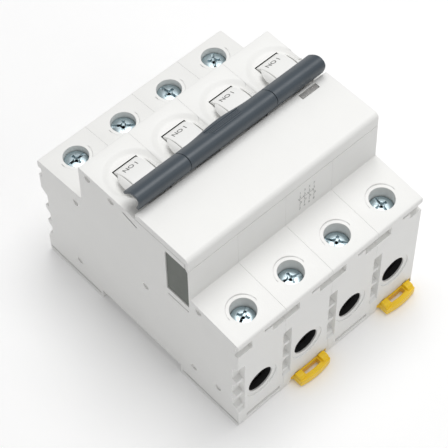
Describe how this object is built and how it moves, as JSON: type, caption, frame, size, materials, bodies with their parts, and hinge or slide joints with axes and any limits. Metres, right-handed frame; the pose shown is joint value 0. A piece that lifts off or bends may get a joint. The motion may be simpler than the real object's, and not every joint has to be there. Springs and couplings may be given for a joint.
{
  "type": "modular circuit breaker",
  "caption": "Modular circuit breaker for a DIN rail: half-shell poles, tied toggle handle, smooth front cover with a trip window, screw clamp terminals and sliding rail clips.",
  "frame": {"origin": "centre of the bounding box's underside, on the plane of the back feet", "axes": "+Z out of the front, away from the rail; +X the breaker's right; +Y its upper end, so the front reads along +X"},
  "size_m": [0.072, 0.0928, 0.0718],
  "materials": {
    "case_white": "fine moulded texture, satin",
    "toggle_white": "smooth moulded",
    "handle_slate": "smooth moulded, satin",
    "insert_grey": "matte moulded",
    "clip_yellow": "smooth moulded",
    "window_smoke": "clear smoked plastic",
    "flag_red": "matte moulded",
    "zinc_plate": "zinc plated, bluish",
    "steel": "stamped",
    "copper": "stamped copper",
    "bimetal": "rolled strip",
    "trip_bar_black": "moulded"
  },
  "bodies": {
    "case": {"pole_1_case_left": "case_white", "pole_1_case_right": "case_white", "pole_2_case_left": "case_white", "pole_2_case_right": "case_white", "pole_3_case_left": "case_white", "pole_3_case_right": "case_white", "pole_4_case_left": "case_white", "pole_4_case_right": "case_white", "front_cover": "case_white", "trip_window": "window_smoke", "side_coupling_insert": "insert_grey", "case_rivet_1": "steel", "case_rivet_2": "steel", "case_rivet_3": "steel", "pole_1_arc_chute": "steel", "pole_1_magnetic_trip": "copper", "pole_1_bimetal": "bimetal", "pole_2_arc_chute": "steel", "pole_2_magnetic_trip": "copper", "pole_2_bimetal": "bimetal", "pole_3_arc_chute": "steel", "pole_3_magnetic_trip": "copper", "pole_3_bimetal": "bimetal", "pole_4_arc_chute": "steel", "pole_4_magnetic_trip": "copper", "pole_4_bimetal": "bimetal"},
    "handle": {"pole_1_toggle": "toggle_white", "pole_2_toggle": "toggle_white", "pole_3_toggle": "toggle_white", "pole_4_toggle": "toggle_white", "handle_left": "handle_slate", "handle_centre": "handle_slate", "handle_right": "handle_slate", "handle_tie_rod": "steel"},
    "trip_bar": {"trip_bar": "trip_bar_black"},
    "trip_flag": {"trip_flag": "flag_red"},
    "pole_1_contact": {"pole_1_contact_arm": "copper"},
    "pole_2_contact": {"pole_2_contact_arm": "copper"},
    "pole_3_contact": {"pole_3_contact_arm": "copper"},
    "pole_4_contact": {"pole_4_contact_arm": "copper"},
    "pole_1_far_screw": {"pole_1_far_screw": "zinc_plate"},
    "pole_1_far_cage": {"pole_1_far_clamp_cage": "steel"},
    "pole_1_near_screw": {"pole_1_near_screw": "zinc_plate"},
    "pole_1_near_cage": {"pole_1_near_clamp_cage": "steel"},
    "pole_2_far_screw": {"pole_2_far_screw": "zinc_plate"},
    "pole_2_far_cage": {"pole_2_far_clamp_cage": "steel"},
    "pole_2_near_screw": {"pole_2_near_screw": "zinc_plate"},
    "pole_2_near_cage": {"pole_2_near_clamp_cage": "steel"},
    "pole_3_far_screw": {"pole_3_far_screw": "zinc_plate"},
    "pole_3_far_cage": {"pole_3_far_clamp_cage": "steel"},
    "pole_3_near_screw": {"pole_3_near_screw": "zinc_plate"},
    "pole_3_near_cage": {"pole_3_near_clamp_cage": "steel"},
    "pole_4_far_screw": {"pole_4_far_screw": "zinc_plate"},
    "pole_4_far_cage": {"pole_4_far_clamp_cage": "steel"},
    "pole_4_near_screw": {"pole_4_near_screw": "zinc_plate"},
    "pole_4_near_cage": {"pole_4_near_clamp_cage": "steel"},
    "pole_1_far_clip": {"pole_1_far_rail_clip": "clip_yellow"},
    "pole_1_near_clip": {"pole_1_near_rail_clip": "clip_yellow"},
    "pole_3_far_clip": {"pole_3_far_rail_clip": "clip_yellow"},
    "pole_3_near_clip": {"pole_3_near_rail_clip": "clip_yellow"}
  },
  "joints": [
    {"name": "handle_turn", "type": "hinge", "parent": "case", "child": "handle", "pos_m": [0, -0.007, 0.0545], "axis": [1, 0, 0], "range_deg": [0, 56]},
    {"name": "pole_1_contact_turn", "type": "hinge", "parent": "case", "child": "pole_1_contact", "pos_m": [-0.027, 0.005, 0.041], "axis": [1, 0, 0], "range_deg": [0, 28]},
    {"name": "pole_2_contact_turn", "type": "hinge", "parent": "case", "child": "pole_2_contact", "pos_m": [-0.009, 0.005, 0.041], "axis": [1, 0, 0], "range_deg": [0, 28]},
    {"name": "pole_3_contact_turn", "type": "hinge", "parent": "case", "child": "pole_3_contact", "pos_m": [0.009, 0.005, 0.041], "axis": [1, 0, 0], "range_deg": [0, 28]},
    {"name": "pole_4_contact_turn", "type": "hinge", "parent": "case", "child": "pole_4_contact", "pos_m": [0.027, 0.005, 0.041], "axis": [1, 0, 0], "range_deg": [0, 28]},
    {"name": "trip_bar_turn", "type": "hinge", "parent": "case", "child": "trip_bar", "pos_m": [0, 0.015, 0.05], "axis": [1, 0, 0], "range_deg": [-12.1, 0]},
    {"name": "trip_flag_slide", "type": "slide", "parent": "case", "child": "trip_flag", "axis": [1, 0, 0], "range_m": [0, 0.003]},
    {"name": "pole_1_far_screw_turn", "type": "hinge", "parent": "case", "child": "pole_1_far_screw", "pos_m": [-0.027, -0.0356, 0.0414], "axis": [0, 0, 1], "range_deg": [-2160, 0]},
    {"name": "pole_1_far_cage_slide", "type": "slide", "parent": "case", "child": "pole_1_far_cage", "axis": [0, 0, 1], "range_m": [0, 0.0048]},
    {"name": "pole_1_near_screw_turn", "type": "hinge", "parent": "case", "child": "pole_1_near_screw", "pos_m": [-0.027, 0.0349, 0.039], "axis": [0, 0, 1], "range_deg": [-2160, 0]},
    {"name": "pole_1_near_cage_slide", "type": "slide", "parent": "case", "child": "pole_1_near_cage", "axis": [0, 0, 1], "range_m": [0, 0.0048]},
    {"name": "pole_2_far_screw_turn", "type": "hinge", "parent": "case", "child": "pole_2_far_screw", "pos_m": [-0.009, -0.0356, 0.0414], "axis": [0, 0, 1], "range_deg": [-2160, 0]},
    {"name": "pole_2_far_cage_slide", "type": "slide", "parent": "case", "child": "pole_2_far_cage", "axis": [0, 0, 1], "range_m": [0, 0.0048]},
    {"name": "pole_2_near_screw_turn", "type": "hinge", "parent": "case", "child": "pole_2_near_screw", "pos_m": [-0.009, 0.0349, 0.039], "axis": [0, 0, 1], "range_deg": [-2160, 0]},
    {"name": "pole_2_near_cage_slide", "type": "slide", "parent": "case", "child": "pole_2_near_cage", "axis": [0, 0, 1], "range_m": [0, 0.0048]},
    {"name": "pole_3_far_screw_turn", "type": "hinge", "parent": "case", "child": "pole_3_far_screw", "pos_m": [0.009, -0.0356, 0.0414], "axis": [0, 0, 1], "range_deg": [-2160, 0]},
    {"name": "pole_3_far_cage_slide", "type": "slide", "parent": "case", "child": "pole_3_far_cage", "axis": [0, 0, 1], "range_m": [0, 0.0048]},
    {"name": "pole_3_near_screw_turn", "type": "hinge", "parent": "case", "child": "pole_3_near_screw", "pos_m": [0.009, 0.0349, 0.039], "axis": [0, 0, 1], "range_deg": [-2160, 0]},
    {"name": "pole_3_near_cage_slide", "type": "slide", "parent": "case", "child": "pole_3_near_cage", "axis": [0, 0, 1], "range_m": [0, 0.0048]},
    {"name": "pole_4_far_screw_turn", "type": "hinge", "parent": "case", "child": "pole_4_far_screw", "pos_m": [0.027, -0.0356, 0.0414], "axis": [0, 0, 1], "range_deg": [-2160, 0]},
    {"name": "pole_4_far_cage_slide", "type": "slide", "parent": "case", "child": "pole_4_far_cage", "axis": [0, 0, 1], "range_m": [0, 0.0048]},
    {"name": "pole_4_near_screw_turn", "type": "hinge", "parent": "case", "child": "pole_4_near_screw", "pos_m": [0.027, 0.0349, 0.039], "axis": [0, 0, 1], "range_deg": [-2160, 0]},
    {"name": "pole_4_near_cage_slide", "type": "slide", "parent": "case", "child": "pole_4_near_cage", "axis": [0, 0, 1], "range_m": [0, 0.0048]},
    {"name": "pole_1_far_clip_slide", "type": "slide", "parent": "case", "child": "pole_1_far_clip", "axis": [0, -1, 0], "range_m": [0, 0.0035]},
    {"name": "pole_1_near_clip_slide", "type": "slide", "parent": "case", "child": "pole_1_near_clip", "axis": [0, 1, 0], "range_m": [0, 0.0035]},
    {"name": "pole_3_far_clip_slide", "type": "slide", "parent": "case", "child": "pole_3_far_clip", "axis": [0, -1, 0], "range_m": [0, 0.0035]},
    {"name": "pole_3_near_clip_slide", "type": "slide", "parent": "case", "child": "pole_3_near_clip", "axis": [0, 1, 0], "range_m": [0, 0.0035]}
  ],
  "couplings": [
    {"joint": "pole_1_contact_turn", "follows": "handle_turn", "ratio": 0.5},
    {"joint": "pole_2_contact_turn", "follows": "handle_turn", "ratio": 0.5},
    {"joint": "pole_3_contact_turn", "follows": "handle_turn", "ratio": 0.5},
    {"joint": "pole_4_contact_turn", "follows": "handle_turn", "ratio": 0.5},
    {"joint": "trip_bar_turn", "follows": "trip_flag_slide", "rad_per_m": -70},
    {"joint": "pole_1_far_screw_turn", "follows": "pole_1_far_cage_slide", "rad_per_m": -7853},
    {"joint": "pole_1_near_screw_turn", "follows": "pole_1_near_cage_slide", "rad_per_m": -7853},
    {"joint": "pole_2_far_screw_turn", "follows": "pole_2_far_cage_slide", "rad_per_m": -7853},
    {"joint": "pole_2_near_screw_turn", "follows": "pole_2_near_cage_slide", "rad_per_m": -7853},
    {"joint": "pole_3_far_screw_turn", "follows": "pole_3_far_cage_slide", "rad_per_m": -7853},
    {"joint": "pole_3_near_screw_turn", "follows": "pole_3_near_cage_slide", "rad_per_m": -7853},
    {"joint": "pole_4_far_screw_turn", "follows": "pole_4_far_cage_slide", "rad_per_m": -7853},
    {"joint": "pole_4_near_screw_turn", "follows": "pole_4_near_cage_slide", "rad_per_m": -7853}
  ]
}
